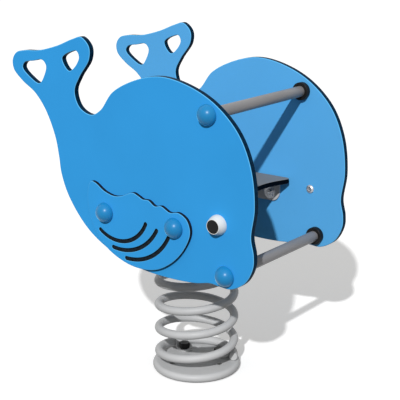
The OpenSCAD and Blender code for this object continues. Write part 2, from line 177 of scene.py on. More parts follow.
# Two colours mixed by a share, each a plain colour or another node's output
def mixed(tree, share, first, second):
    step = tree.nodes.new("ShaderNodeMix")
    step.data_type = "RGBA"
    tree.links.new(share, step.inputs["Factor"])
    for name, value in (("A", first), ("B", second)):
        if isinstance(value, tuple):
            step.inputs[name].default_value = value + (1,)
        else:
            tree.links.new(value, step.inputs[name])
    return step.outputs["Result"]


# Cloudy noise on object coordinates; stretch squeezes it along an axis
def cloud(tree, place, scale, detail=3.0, stretch=(1, 1, 1)):
    turn = tree.nodes.new("ShaderNodeMapping")
    turn.inputs["Scale"].default_value = stretch
    tree.links.new(place.outputs["Object"], turn.inputs["Vector"])
    noise = tree.nodes.new("ShaderNodeTexNoise")
    noise.inputs["Scale"].default_value = scale
    noise.inputs["Detail"].default_value = detail
    tree.links.new(turn.outputs["Vector"], noise.inputs["Vector"])
    return noise.outputs["Fac"]


# Bumps on the surface, as high as a pattern says
def bumped(tree, shader, height, strength, depth):
    bump = tree.nodes.new("ShaderNodeBump")
    bump.inputs["Strength"].default_value = strength
    bump.inputs["Distance"].default_value = depth
    tree.links.new(height, bump.inputs["Height"])
    tree.links.new(bump.outputs["Normal"], shader.inputs["Normal"])


# Darker and lighter versions of a colour, for the noise to wander between
def shades(colour, spread):
    return tuple(c * (1 - spread) for c in colour), tuple(min(1, c * (1 + spread)) for c in colour)


coatSet = {
    "noiseRange": (0.3, 0.7),               # the part of a noise pattern that is used
    "driftScale": 9.0,                      # of the colour's drift
    "wearScale": 45.0, "wearDetail": 5.0,   # of the roughness
    "grainDetail": 2.0,
}


# Plain painted or moulded finish: colour drifts a little, roughness drifts, and a fine skin of bumps
def coatFinish(name, colour, rough, grain, bump, spread=0.04, shine=0.5, metal=0.0, stretch=(1, 1, 1),
               gloss=0.0, glossRough=0.12, glossIndex=1.5, sheen=0.0, sheenRough=0.5, sheenTint=(1, 1, 1)):
    finish, tree, shader, place = newFinish(name)
    low, high = shades(colour, spread)
    drift = ranged(tree, cloud(tree, place, coatSet["driftScale"]), *coatSet["noiseRange"], 0, 1)
    tree.links.new(mixed(tree, drift, low, high), shader.inputs["Base Color"])
    wear = cloud(tree, place, coatSet["wearScale"], coatSet["wearDetail"], stretch)
    tree.links.new(ranged(tree, wear, *coatSet["noiseRange"], *rough), shader.inputs["Roughness"])
    skin = cloud(tree, place, grain, coatSet["grainDetail"], stretch)
    bumped(tree, shader, skin, bump[0], bump[1] * mm)
    shader.inputs["Metallic"].default_value = metal
    shader.inputs["Specular IOR Level"].default_value = shine
    shader.inputs["Coat Weight"].default_value = gloss
    shader.inputs["Coat Roughness"].default_value = glossRough
    shader.inputs["Coat IOR"].default_value = glossIndex
    shader.inputs["Sheen Weight"].default_value = sheen
    shader.inputs["Sheen Roughness"].default_value = sheenRough
    shader.inputs["Sheen Tint"].default_value = sheenTint + (1,)
    return finish


sheetSet = {
    "coreBlur": 0.25,                       # mm to either side over which skin turns to core
    "easedFrom": 0.995, "easedTo": 0.90,    # how squarely the flat and its eased edge face outwards
    "spread": 0.025, "driftScale": 5.0, "driftRange": (0.3, 0.7),
    "paintedLightDepth": (0.2, 2.0),               # mm from the inner face over which its painted light fades
    # colour of the painted light on the inner face
    "paintedLightColour": (0.62, 1.0, 0.95),
    "millScale": 160.0, "millDetail": 2.0, "millRange": (0.35, 0.65), "millGain": 1.8,
    "scuffScale": 30.0, "scuffDetail": 6.0, "scuffRange": (0.3, 0.75), "scuffStretch": (1, 1, 3),
    "grainScale": 900.0, "grainDetail": 2.0, "grainStrength": 0.10, "grainDepth": 0.15,
    "shine": 0.015, "shineTint": (0.20, 0.50, 0.90),
}


# Two-colour sheet: coloured skins on both faces, a dark core between them that shows on cut edges and
# in grooves, a paler painted highlight on the eased edges, and painted light on the inner face. axis is the
# sheet's thickness.
def sheetFinish(name, axis, faces, skin, colour, core, rough, paintedEdgeHighlight, paintedInnerLight=0.0):
    finish, tree, shader, place = newFinish(name)
    split = tree.nodes.new("ShaderNodeSeparateXYZ")
    tree.links.new(place.outputs["Object"], split.inputs[0])
    depth = math2(tree, "ABSOLUTE", split.outputs[axis], None)
    near = math2(tree, "SUBTRACT", depth, faces[0])
    far = math2(tree, "SUBTRACT", faces[1], depth)
    under = math2(tree, "MINIMUM", near, far)                   # depth below the nearer face
    blur = sheetSet["coreBlur"]
    inCore = ranged(tree, under, (skin - blur) * mm, (skin + blur) * mm, 0, 1)
    facing = tree.nodes.new("ShaderNodeSeparateXYZ")
    tree.links.new(place.outputs["Normal"], facing.inputs[0])
    flat = math2(tree, "ABSOLUTE", facing.outputs[axis], None)
    eased = ranged(tree, flat, sheetSet["easedFrom"], sheetSet["easedTo"], 0, 1)    # 1 on rounded edges
    low, high = shades(colour, sheetSet["spread"])
    drift = ranged(tree, cloud(tree, place, sheetSet["driftScale"]), *sheetSet["driftRange"], 0, 1)
    start, stop = sheetSet["paintedLightDepth"]
    inside = ranged(tree, near, start * mm, stop * mm, paintedInnerLight, 0)    # painted light: the inner face is made a little paler
    faceColour = mixed(tree, inside, mixed(tree, drift, low, high), sheetSet["paintedLightColour"])
    # painted highlight: the rounded edges take the paler colour
    skinColour = mixed(tree, eased, faceColour, paintedEdgeHighlight)
    mill = cloud(tree, place, sheetSet["millScale"], sheetSet["millDetail"])
    coreLight = tuple(c * sheetSet["millGain"] for c in core)
    coreColour = mixed(tree, ranged(tree, mill, *sheetSet["millRange"], 0, 1), core, coreLight)
    tree.links.new(mixed(tree, inCore, skinColour, coreColour), shader.inputs["Base Color"])
    scuffs = cloud(tree, place, sheetSet["scuffScale"], sheetSet["scuffDetail"], sheetSet["scuffStretch"])
    tree.links.new(ranged(tree, scuffs, *sheetSet["scuffRange"], *rough), shader.inputs["Roughness"])
    grain = cloud(tree, place, sheetSet["grainScale"], sheetSet["grainDetail"])
    bumped(tree, shader, grain, sheetSet["grainStrength"], sheetSet["grainDepth"] * mm)
    shader.inputs["Specular IOR Level"].default_value = sheetSet["shine"]
    shader.inputs["Specular Tint"].default_value = sheetSet["shineTint"] + (1,)
    return finish


panelFace = [abs(corner.y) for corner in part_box("left_panel")]
finFace = [abs(corner.y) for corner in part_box("left_fin")]
seatFace = [corner.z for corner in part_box("seat")]

blue = (0.037, 0.328, 0.742)
# paler blue painted on the rounded edges as a highlight
edgeHighlightBlue = (0.12, 0.48, 0.85)
black = (0.001, 0.002, 0.004)
inkBlue = (0.001, 0.015, 0.037)             # the panels' dark core, with a cast of their blue
finCore = (0.009, 0.013, 0.018)
# the panels' inner faces are painted paler, standing in for light falling between them
panelBlue = sheetFinish("panelBlue", "Y", panelFace, skin=1.1, colour=blue, core=inkBlue,
                        rough=(0.36, 0.50), paintedEdgeHighlight=edgeHighlightBlue, paintedInnerLight=0.10)
finBlue = sheetFinish("finBlue", "Y", finFace, skin=0.7, colour=blue, core=finCore,
                      rough=(0.36, 0.50), paintedEdgeHighlight=edgeHighlightBlue)
seatGrey = sheetFinish("seatGrey", "Z", seatFace, skin=0.6, colour=(0.20, 0.21, 0.22), core=black,
                       rough=(0.42, 0.58), paintedEdgeHighlight=(0.25, 0.26, 0.27))
capBlue = coatFinish("capBlue", (0.009, 0.205, 0.465), rough=(0.44, 0.50), grain=420.0, bump=(0.05, 0.1),
                     spread=0.03, shine=0.05, gloss=1.0, glossRough=0.31, glossIndex=1.32,
                     sheen=1.0, sheenRough=0.25, sheenTint=(0.28, 0.75, 1.0))
springGrey = coatFinish("springGrey", (0.49, 0.495, 0.50), rough=(0.42, 0.56), grain=380.0,
                        bump=(0.10, 0.25), shine=0.25)
carrierGrey = coatFinish("carrierGrey", (0.46, 0.465, 0.47), rough=(0.34, 0.48), grain=380.0,
                         bump=(0.10, 0.25), shine=0.25)
tubeGrey = coatFinish("tubeGrey", (0.222, 0.219, 0.228), rough=(0.34, 0.50), grain=600.0,
                      bump=(0.10, 0.15), shine=0.4, stretch=(1, 0.2, 1))
blackPlastic = coatFinish("blackPlastic", (0.010, 0.010, 0.010), rough=(0.35, 0.50), grain=700.0,
                          bump=(0.08, 0.1), shine=0.13)
eyeWhite = coatFinish("eyeWhite", (0.74, 0.745, 0.725), rough=(0.26, 0.38), grain=420.0,
                      bump=(0.04, 0.1), spread=0.02, shine=0.25)
brightSteel = coatFinish("brightSteel", (0.47, 0.48, 0.50), rough=(0.32, 0.48), grain=900.0,
                         bump=(0.06, 0.08), metal=1.0)
insertBrass = coatFinish("insertBrass", (0.60, 0.42, 0.15), rough=(0.25, 0.38), grain=900.0,
                         bump=(0.06, 0.08), metal=1.0)
print("finishes ready")


# Mesh helpers

mergeGap = 0.002 * mm                       # corners closer than this are one corner
fineSides = 96                              # sides of the larger turned parts


# Quads between the points of a grid; rows follow each other, and each row closes on itself
def gridFaces(rows, cols, closeRows=False):
    i, j = np.meshgrid(np.arange(rows if closeRows else rows - 1), np.arange(cols), indexing="ij")
    ahead, beside = (i + 1) % rows, (j + 1) % cols
    quads = np.stack([i * cols + j, i * cols + beside, ahead * cols + beside, ahead * cols + j], -1)
    return quads.reshape(-1, 4)


# A smooth block of points and faces from a grid
def gridBlock(grid, closeRows=False):
    rows, cols = grid.shape[:2]
    return grid.reshape(-1, 3), gridFaces(rows, cols, closeRows).tolist(), True


# Blocks of points and faces become one piece: shared corners merge, faces turn outwards,
# and edges sharper than the limit stay sharp
def makePiece(name, blocks, finish, body, nodes, sharp=35):
    starts = np.cumsum([0] + [len(points) for points, faces, smooth in blocks])
    points = np.concatenate([points for points, faces, smooth in blocks])
    faces = [[v + start for v in face] for start, block in zip(starts, blocks) for face in block[1]]
    smooth = np.concatenate([np.full(len(block[1]), block[2]) for block in blocks])
    mesh = bpy.data.meshes.new(name)
    mesh.from_pydata(points.tolist(), [], faces)
    mesh.polygons.foreach_set("use_smooth", smooth)
    shell = bmesh.new()
    shell.from_mesh(mesh)
    bmesh.ops.remove_doubles(shell, verts=shell.verts, dist=mergeGap)
    bmesh.ops.recalc_face_normals(shell, faces=shell.faces)
    shell.to_mesh(mesh)
    shell.free()
    mesh.set_sharp_from_angle(angle=math.radians(sharp))
    mesh.materials.append(finish)
    piece = bpy.data.objects.new(name, mesh)
    bpy.context.scene.collection.objects.link(piece)
    if body:
        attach(piece, body)
    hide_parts(*nodes)
    return piece


# Lowest and highest corner of each separate solid of a CAD node: equal corners get one label, and the
# lowest label spreads along the edges until every solid holds a single one
def solidBoxes(name):
    mesh = cadNodes[name].data
    corners = np.empty(len(mesh.vertices) * 3, np.float32)
    mesh.vertices.foreach_get("co", corners)
    corners, owner = np.unique(corners.reshape(-1, 3).round(6), axis=0, return_inverse=True)
    ends = np.empty(len(mesh.edges) * 2, np.int32)
    mesh.edges.foreach_get("vertices", ends)
    ends = owner.ravel()[ends].reshape(-1, 2)
    label = np.arange(len(corners))
    settled = False
    while not settled:
        low = label[ends].min(axis=1)
        spread = label.copy()
        np.minimum.at(spread, ends[:, 0], low)
        np.minimum.at(spread, ends[:, 1], low)
        spread = spread[spread]
        settled = (spread == label).all()
        label = spread
    return [(corners[label == k].min(0), corners[label == k].max(0)) for k in np.unique(label)]


# Closed smooth curve through knots: a cubic on each span whose end slopes weigh the neighbour spans
def closedCurve(knots, steps):
    knot = np.asarray(knots, float) * mm
    after, before = np.roll(knot, -1, 0), np.roll(knot, 1, 0)
    b = np.sqrt(np.linalg.norm(after - knot, axis=1))[:, None]
    a = np.roll(b, 1, 0)
    slope = ((knot - before) * b / a + (after - knot) * a / b) / (a + b)
    t = np.linspace(0, 1, steps, endpoint=False)[None, :, None]
    curve = ((2 * t**3 - 3 * t**2 + 1) * knot[:, None] + (t**3 - 2 * t**2 + t) * (b * slope)[:, None]
             + (3 * t**2 - 2 * t**3) * after[:, None] + (t**3 - t**2) * (b * np.roll(slope, -1, 0))[:, None])
    return curve.reshape(-1, 2)


# Points round a circle: centre + r (cos a, sin a)
def circle(centre, radius, count=40):
    turn = np.linspace(0, 2 * np.pi, count, endpoint=False)[:, None]
    return np.asarray(centre) + radius * np.concatenate([np.cos(turn), np.sin(turn)], 1)


# Loop turned to run anticlockwise, or clockwise where it bounds a hole, so its left is always the sheet
def wound(loop, anticlockwise):
    x, y = loop.T
    area = (x * np.roll(y, -1) - y * np.roll(x, -1)).sum()
    return loop if (area > 0) == anticlockwise else loop[::-1]


# Loop moved to its left by a distance, along the normals of its points
def inset(loop, distance):
    along = np.roll(loop, -1, 0) - np.roll(loop, 1, 0)
    along = along / np.linalg.norm(along, axis=1)[:, None]
    return loop + distance * np.stack([-along[:, 1], along[:, 0]], 1)


# Flat cap over one or more loops at a height; loops after the first are holes in it
def capBlock(loops, height):
    points = np.concatenate(loops)
    faces = tessellate_polygon([[Vector((x, y, 0)) for x, y in loop] for loop in loops])
    return np.column_stack([points, np.full(len(points), height)]), [list(f) for f in faces], False


# A sheet cut to an outline with cutouts through it and pockets in its front face. Each border is carried
# round a profile with rounded edges: inset = e(1 - sin a), height = e(1 - cos a) at both faces.
def cutSheet(outline, edge, cutouts, pockets, thickness, steps=6):
    turn = np.linspace(0, np.pi / 2, steps + 1)
    lead = 0.6 * mm                                             # flat strip that keeps the shading smooth
    blocks, fronts, backs = [], [], []

    def rounded(e):
        insets = np.concatenate([[e + lead], e * (1 - np.sin(turn))])
        heights = np.concatenate([[0], e * (1 - np.cos(turn))])
        return np.concatenate([insets, insets[::-1]]), np.concatenate([heights, thickness - heights[::-1]])

    def wall(loop, insets, heights):
        grid = np.stack([np.column_stack([inset(loop, d), np.full(len(loop), h)])
                         for d, h in zip(insets, heights)])
        blocks.append(gridBlock(grid))
        return grid

    for loop, e in [(wound(outline, True), edge)] + [(wound(hole, False), own) for hole, own in cutouts]:
        grid = wall(loop, *rounded(e))
        backs.append(grid[0, :, :2])
        fronts.append(grid[-1, :, :2])
    for loop, e, depth in pockets:
        insets = np.concatenate([[e + lead], e * (1 - np.sin(turn)), [0]])
        heights = thickness - np.concatenate([[0], e * (1 - np.cos(turn)), [depth]])
        grid = wall(wound(loop, False), insets, heights)
        fronts.append(grid[0, :, :2])
        blocks.append(capBlock([grid[-1, :, :2]], thickness - depth))
    blocks.append(capBlock(backs, 0))
    blocks.append(capBlock(fronts, thickness))
    return blocks


# Blocks moved from sheet coordinates (along, up, height above the back face) into the frame
def standing(blocks, side, backFace, shift):
    return [(np.column_stack([p[:, 0] + shift[0], side * (backFace + p[:, 2]), p[:, 1] + shift[1]]),
             faces, smooth) for p, faces, smooth in blocks]


# Blocks laid flat: their height runs up or down from a start
def lying(blocks, start, upward):
    return [(np.column_stack([p[:, 0], p[:, 1], start + upward * p[:, 2]]), faces, smooth)
            for p, faces, smooth in blocks]


# Turned part: rows of (radius, height) carried round an axis. A row marked hex stops at a hexagon of the
# given width across flats, and a row marked thread dips by a triangle wave of height / pitch - turn.
def turned(rows, sides=72, across=0.0, pitch=1.5, dip=0.45):
    rows = np.array([tuple(row) + (0,) * (4 - len(row)) for row in rows], float)
    radius, height, isHex, isThread = (column[:, None] for column in rows.T)
    angle = np.linspace(0, 2 * np.pi, sides, endpoint=False)[None]
    flat = across / 2 / np.cos((angle + np.pi / 6) % (np.pi / 3) - np.pi / 6)
    reach = np.where(isHex > 0, np.minimum(radius, flat), radius + 0 * angle)
    phase = height / pitch - angle / (2 * np.pi)
    reach = reach - isThread * dip * np.abs(2 * (phase - np.floor(phase + 0.5)))
    return np.stack([reach * np.cos(angle), reach * np.sin(angle), height + 0 * angle], -1) * mm


# Turned grid stood on its site: across puts its axis along Y, outward on that side; upright along Z
def acrossSite(grid, centre, side, start):
    return np.stack([centre[0] + grid[..., 0], side * (start + grid[..., 2]), centre[2] + grid[..., 1]], -1)


def uprightSite(grid, centre, start, upward):
    return np.stack([centre[0] + grid[..., 0], centre[1] + grid[..., 1], start + upward * grid[..., 2]], -1)


# Quarter round from (r - e, h0) to (r, h0 + e), or mirrored, for the rims of turned parts
def roundRim(radius, height, e, up, steps=4):
    turn = np.linspace(0, np.pi / 2, steps + 1)
    return [(radius - e * (1 - math.sin(a)), height + up * e * (1 - math.cos(a))) for a in turn]


# Reach and height in mm, and inner face, of a solid whose axis runs across the rider
def acrossSize(low, high):
    inner, outer = sorted((abs(low[1]), abs(high[1])))
    return (high[0] - low[0]) / 2 / mm, (outer - inner) / mm, inner


# Four rounded corners of a plate's section: each point's angle, and on which side its corner lies
def sectionCorners():
    around = np.concatenate([np.linspace(a, a + np.pi / 2, 4) for a in np.arange(4) * np.pi / 2])[None]
    quarter = np.repeat(np.arange(4), 4)[None]
    return around, np.where((quarter == 0) | (quarter == 3), 1, -1), np.where(quarter < 2, 1, -1)


# Grid whose first and last row are closed to their middle
def closedEnds(grid):
    ends = [np.tile(grid[k].mean(0), (1, grid.shape[1], 1)) for k in (0, -1)]
    return np.concatenate([ends[0], grid, ends[1]])


# Every solid of a group as one piece: build(centre, side, low, high) gives the grid for one solid
def groupPiece(node, build, finish, body, closeRows=False, sharp=35):
    blocks = []
    for low, high in solidBoxes(node):
        centre = (low + high) / 2
        side = 1 if centre[1] > 0 else -1
        blocks.append(gridBlock(build(centre, side, low, high), closeRows))
    return makePiece(node + "Skin", blocks, finish, body, [node], sharp)


# Side panels

panelShape = {
    "outline": [
        (48, 292), (120, 281), (190, 250), (249, 196), (281, 128), (291, 47),
        (283, -17), (290, -52), (289, -80), (270, -116), (233, -138), (205, -138), (180, -136),
        (140, -144), (60, -148), (-20, -142), (-100, -119), (-170, -78), (-226, -12),
        (-248, 40), (-254, 80), (-264, 125), (-292, 184), (-324, 220), (-362, 243),
        (-390, 268), (-393, 290), (-380, 308), (-352, 315), (-310, 318), (-250, 333), (-200, 352),
        (-174, 358), (-151, 338), (-152, 310), (-182, 269), (-198, 236), (-185, 202),
        (-150, 188), (-122, 202), (-86, 245), (-20, 278)],
    "tailHoles": [
        [(-360, 275), (-353, 287), (-324, 293), (-296, 297),
         (-285, 285), (-292, 262), (-308, 243), (-336, 254)],
        [(-233, 306), (-226, 314), (-206, 323), (-189, 326),
         (-182, 313), (-194, 292), (-212, 280), (-225, 289)]],
    "curveSteps": 10,
    "edge": 2.0,                            # rounding of the cut edges
    "holeEdge": 1.8,
    "boltEdge": 0.6,
    "boltHole": 10.5,
    "screwHole": 8.5,
}


# Where a group's solids on one side pierce a sheet, in the sheet's own coordinates
def siteCentres(node, shift, side):
    centres = [(low + high) / 2 for low, high in solidBoxes(node)]
    return [(c[0] - shift[0], c[2] - shift[1]) for c in centres if c[1] * side > 0]


# A panel or fin cut from sheet, with holes where the listed nodes pierce it, and stood in its place
def uprightSheet(name, side, shape, finish, bolts, cutouts, grooves):
    low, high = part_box(name)
    outline = closedCurve(shape["outline"], shape["curveSteps"])
    shift = (low.x - outline[:, 0].min(), low.z - outline[:, 1].min())
    for node, size in bolts:
        cutouts = cutouts + [(circle(c, shape[size] / 2 * mm), shape["boltEdge"] * mm)
                             for c in siteCentres(node, shift, side)]
    sheet = cutSheet(outline, shape["edge"] * mm, cutouts, grooves, high.y - low.y)
    blocks = standing(sheet, side, min(abs(low.y), abs(high.y)), shift)
    makePiece(name + "Skin", blocks, finish, "rider", [name])


tailHoles = [(closedCurve(hole, panelShape["curveSteps"]), panelShape["holeEdge"] * mm)
             for hole in panelShape["tailHoles"]]
panelBolts = (("fin_bolts", "boltHole"), ("tube_bolts", "boltHole"), ("eye_screws", "screwHole"))
for name, side in (("right_panel", -1), ("left_panel", 1)):
    uprightSheet(name, side, panelShape, panelBlue, panelBolts, tailHoles, [])
print("side panels cut")


# Fins

finShape = {
    "outline": [
        (-158, 8), (-147, 39), (-134, 38), (-108, 23), (-80, 16), (-58, 19), (-24, 32),
        (-8, 27), (4, 22), (20, 22), (38, 12), (55, 15), (79, 5), (103, 8), (125, -4),
        (134, -30), (121, -65), (88, -104), (41, -132), (-10, -139), (-60, -130), (-110, -104),
        (-146, -58)],
    "grooves": [((-69, 2), 88, -126, -23.5), ((-63, 15), 120, -99.5, -28.5), ((-39, 6), 128, -92.5, -27.5)],
    "grooveWidth": 9.5,
    "grooveDepth": 5.0,
    "curveSteps": 10,
    "edge": 1.8,
    "grooveEdge": 0.8,
    "boltEdge": 0.6,
    "boltHole": 10.5,
}


# Slot along an arc: outer arc, half circle, inner arc back, half circle
def arcSlot(centre, radius, start, stop, width):
    centre, start, stop = np.array(centre, float), math.radians(start), math.radians(stop)

    def arc(middle, reach, first, last, count):
        turn = np.linspace(first, last, count)[:, None]
        return middle + reach * np.concatenate([np.cos(turn), np.sin(turn)], 1)

    def end(angle):
        return centre + radius * np.array([math.cos(angle), math.sin(angle)])

    half, step = width / 2, np.pi / 10
    return np.concatenate([
        arc(centre, radius + half, start, stop, 28),
        arc(end(stop), half, stop + step, stop + np.pi - step, 9),
        arc(centre, radius - half, stop, start, 28),
        arc(end(start), half, start + np.pi + step, start + 2 * np.pi - step, 9)]) * mm


grooves = [(arcSlot(*groove, finShape["grooveWidth"]), finShape["grooveEdge"] * mm,
            finShape["grooveDepth"] * mm) for groove in finShape["grooves"]]
for name, side in (("right_fin", -1), ("left_fin", 1)):
    uprightSheet(name, side, finShape, finBlue, [("fin_bolts", "boltHole")], [], grooves)
print("fins cut")


# Seat board

seatShape = {
    "front": 152.0,                         # where the front corners would be, unrounded
    "sideRound": {"rear": 30.0, "front": 9.0},
    "hollow": 22.0,                         # how far the front edge lies behind its corners
    "wing": 65.0,                           # width of the wings beside that hollow, and its rounding
    "wingRound": 150.0,
    "edge": 1.5,
    "insertHole": 12.0,
    "insertEdge": 0.3,
    "insertDepth": 10.0,
}


# Loop with an arc at each corner (x, y, radius): the arc touches both sides
def roundedLoop(corners, steps=14):
    parts = []
    for i, corner in enumerate(corners):
        here, r = np.array(corner[:2]), corner[2]
        u = np.array(corners[i - 1][:2]) - here
        v = np.array(corners[(i + 1) % len(corners)][:2]) - here
        u, v = u / np.linalg.norm(u), v / np.linalg.norm(v)
        half = math.acos(u @ v) / 2
        middle = here + (u + v) / np.linalg.norm(u + v) * r / math.sin(half)
        first = here + u * r / math.tan(half) - middle
        last = here + v * r / math.tan(half) - middle
        sweep = math.atan2(first[0] * last[1] - first[1] * last[0], first @ last)
        w = np.linspace(0, sweep, steps)
        parts.append(middle + np.stack([first[0] * np.cos(w) - first[1] * np.sin(w),
                                        first[0] * np.sin(w) + first[1] * np.cos(w)], 1))
    return np.concatenate(parts)


low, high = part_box("seat")
half = high.y
front = seatShape["front"] * mm
rearR, frontR = (seatShape["sideRound"][k] * mm for k in ("rear", "front"))
hollow, wing, wingR = (seatShape[k] * mm for k in ("hollow", "wing", "wingRound"))
outline = roundedLoop([
    (low.x, -half, rearR), (front, -half, frontR), (front - hollow, wing - half, wingR),
    (front - hollow, half - wing, wingR), (front, half, frontR), (low.x, half, rearR)])
inserts = [((l + h) / 2)[:2] for l, h in solidBoxes("seat_inserts")]
pockets = [(circle(c, seatShape["insertHole"] / 2 * mm), seatShape["insertEdge"] * mm,
            seatShape["insertDepth"] * mm) for c in inserts]
sheet = cutSheet(outline, seatShape["edge"] * mm, [], pockets, high.z - low.z)
makePiece("seatSkin", lying(sheet, high.z, -1), seatGrey, "rider", ["seat"])
print("seat cut")


# Seat carrier: one bent plate

carrierShape = {"plate": 5.0, "bend": 5.0, "cornerRound": 22.0, "edge": 0.9}

low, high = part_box("seat_carrier")
plate, bend, corner, edge = (carrierShape[k] * mm for k in ("plate", "bend", "cornerRound", "edge"))
midR = bend + plate / 2
flangeY, webZ, footZ = high.y - plate / 2, high.z - plate / 2, low.z
drop = webZ - midR - footZ                                      # straight height of a flange
rounding = corner * (1 - np.cos(np.linspace(0, np.pi / 2, 12)))
tip = edge * (1 - np.cos(np.linspace(0, np.pi / 2, 4)))
down = np.unique(np.concatenate([tip, rounding, [drop]]).round(7))  # heights above the flange's lower edge
arc = np.linspace(0, np.pi / 2, 10)[1:]
# middle line of the left half, from the flange's lower edge up, round the bend and in to the centre
line = np.concatenate([
    np.stack([np.full(len(down), flangeY), footZ + down], 1),
    np.stack([flangeY - midR + midR * np.cos(arc), webZ - midR + midR * np.sin(arc)], 1),
    [[0, webZ]]])
outward = np.concatenate([
    np.tile([1.0, 0.0], (len(down), 1)), np.stack([np.cos(arc), np.sin(arc)], 1), [[0, 1]]])
rise = np.concatenate([down, np.full(len(line) - len(down), drop)])
trim = corner - np.sqrt(np.clip(corner**2 - np.clip(corner - rise, 0, None)**2, 0, None))
thin = edge - np.sqrt(np.clip(edge**2 - np.clip(edge - rise, 0, None)**2, 0, None))
mirrored = np.s_[-2::-1]
line = np.concatenate([line, line[mirrored] * [-1, 1]])
outward = np.concatenate([outward, outward[mirrored] * [-1, 1]])
trim = np.concatenate([trim, trim[mirrored]])[:, None]
thin = np.concatenate([thin, thin[mirrored]])[:, None]
# plate section: a long rectangle with rounded corners, shortened at the flange corners
around, ahead, above = sectionCorners()
x = np.where(ahead > 0, high.x - trim - edge, low.x + trim + edge) + edge * np.cos(around)
off = above * (plate / 2 - thin - edge) + edge * np.sin(around)
grid = np.stack([x, line[:, :1] + off * outward[:, :1], line[:, 1:] + off * outward[:, 1:]], -1)
makePiece("seatCarrierSkin", [gridBlock(closedEnds(grid))], carrierGrey, "rider", ["seat_carrier"],
          40)
print("carrier bent")


# Coil spring, in two lengths that meet at mid height

springShape = {
    "wire": 20.0, "outside": 200.0, "turns": 7.38, "tipAngle": 25.0,
    "closedTurn": 0.23, "easeTurn": 0.2,    # flat part of an end turn, and the part where its rise begins
    "seatGap": 0.3,
    "chamfer": 1.5,                         # of the sawn tips
    "turnRings": 72, "sides": 28,
    "bendMargin": 15.0,                     # straight stretch either side of mid height
}

wireR = springShape["wire"] / 2 * mm
coilR = springShape["outside"] / 2 * mm - wireR
gap = springShape["seatGap"] * mm
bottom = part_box("lower_studs")[0].z + gap + wireR
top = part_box("seat_carrier")[1].z - carrierShape["plate"] * mm - gap - wireR
turns, closed, ease = (springShape[k] for k in ("turns", "closedTurn", "easeTurn"))
pitch = (top - bottom) / (turns - 2 * closed - ease)


# Height gained after t turns from a closed end: none, then a parabola, then a steady climb
def climbed(t):
    begun = np.clip(t - closed, 0, ease)
    return pitch * (begun**2 / (2 * ease) + np.clip(t - closed - ease, 0, None))


# Centre line of the wire: a circle of the coil's radius that climbs from both ends to the middle
def wireLine(t):
    angle = math.radians(springShape["tipAngle"]) + 2 * np.pi * t
    height = np.where(t < turns / 2, bottom + climbed(t), top - climbed(turns - t))
    return np.stack([coilR * np.cos(angle), coilR * np.sin(angle), height], -1)


# Round wire carried along its centre line: centre + r (cos a outward + sin a upward)
def wireGrid(t, radius):
    centre = wireLine(t)
    nudge = 0.001                                               # turns to either side, for the direction
    along = wireLine(t + nudge) - wireLine(t - nudge)
    outward = centre * [1, 1, 0] / coilR
    upward = np.cross(outward, along)
    upward /= np.linalg.norm(upward, axis=1)[:, None]
    turn = np.linspace(0, 2 * np.pi, springShape["sides"], endpoint=False)[None, :, None]
    ring = np.cos(turn) * outward[:, None] + np.sin(turn) * upward[:, None]
    return centre[:, None] + radius[:, None, None] * ring


chamfer = springShape["chamfer"] * mm
half = np.linspace(0, turns / 2, int(turns / 2 * springShape["turnRings"]) + 1)
sawn = np.array([0, 0, chamfer]) / (2 * np.pi * coilR)          # the tip is sawn square and chamfered
lowerT = np.concatenate([sawn, half[1:], half[-1:]])
lowerR = np.concatenate([[0, wireR - chamfer], np.full(len(lowerT) - 3, wireR), [0]])
lowerWire, upperWire = ([gridBlock(wireGrid(t, lowerR))] for t in (lowerT, turns - lowerT))
lowerSpring = makePiece("springLower", lowerWire, springGrey, None, ["spring"], 30)
upperSpring = makePiece("springUpper", upperWire, springGrey, None, ["spring"], 30)
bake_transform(lowerSpring)
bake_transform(upperSpring)
print("spring wound")


# Base disc

baseShape = {
    "rim": 9.5, "sides": 160, "rimSteps": 10,
    "anchorHole": 14.0, "anchorCircle": 130.0, "anchorAngle": 5.0, "holeEdge": 0.8,
}

low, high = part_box("base_disc")
directions = np.radians(baseShape["anchorAngle"] + np.array([0, 120, 240]))
anchors = baseShape["anchorCircle"] / 2 * mm * np.stack([np.cos(directions), np.sin(directions)], 1)
cutouts = [(circle(c, baseShape["anchorHole"] / 2 * mm), baseShape["holeEdge"] * mm) for c in anchors]
outline = circle((0, 0), high.x, baseShape["sides"])
sheet = cutSheet(outline, baseShape["rim"] * mm, cutouts, [], high.z - low.z, baseShape["rimSteps"])
makePiece("baseDiscSkin", lying(sheet, low.z, 1), springGrey, "base", ["base_disc"])
print("base disc turned")


# Spring clamps: a strip bent up from its foot and curled over the wire

clampShape = {
    "width": 26.0, "plate": 6.0, "lipGap": 2.2, "bend": 5.0, "edge": 1.0, "footIn": 43.0,
    "lipAngle": 80.0,                       # degrees, where the curl over the wire ends
    "endShare": 0.86,                       # thickness left at the eased ends
}


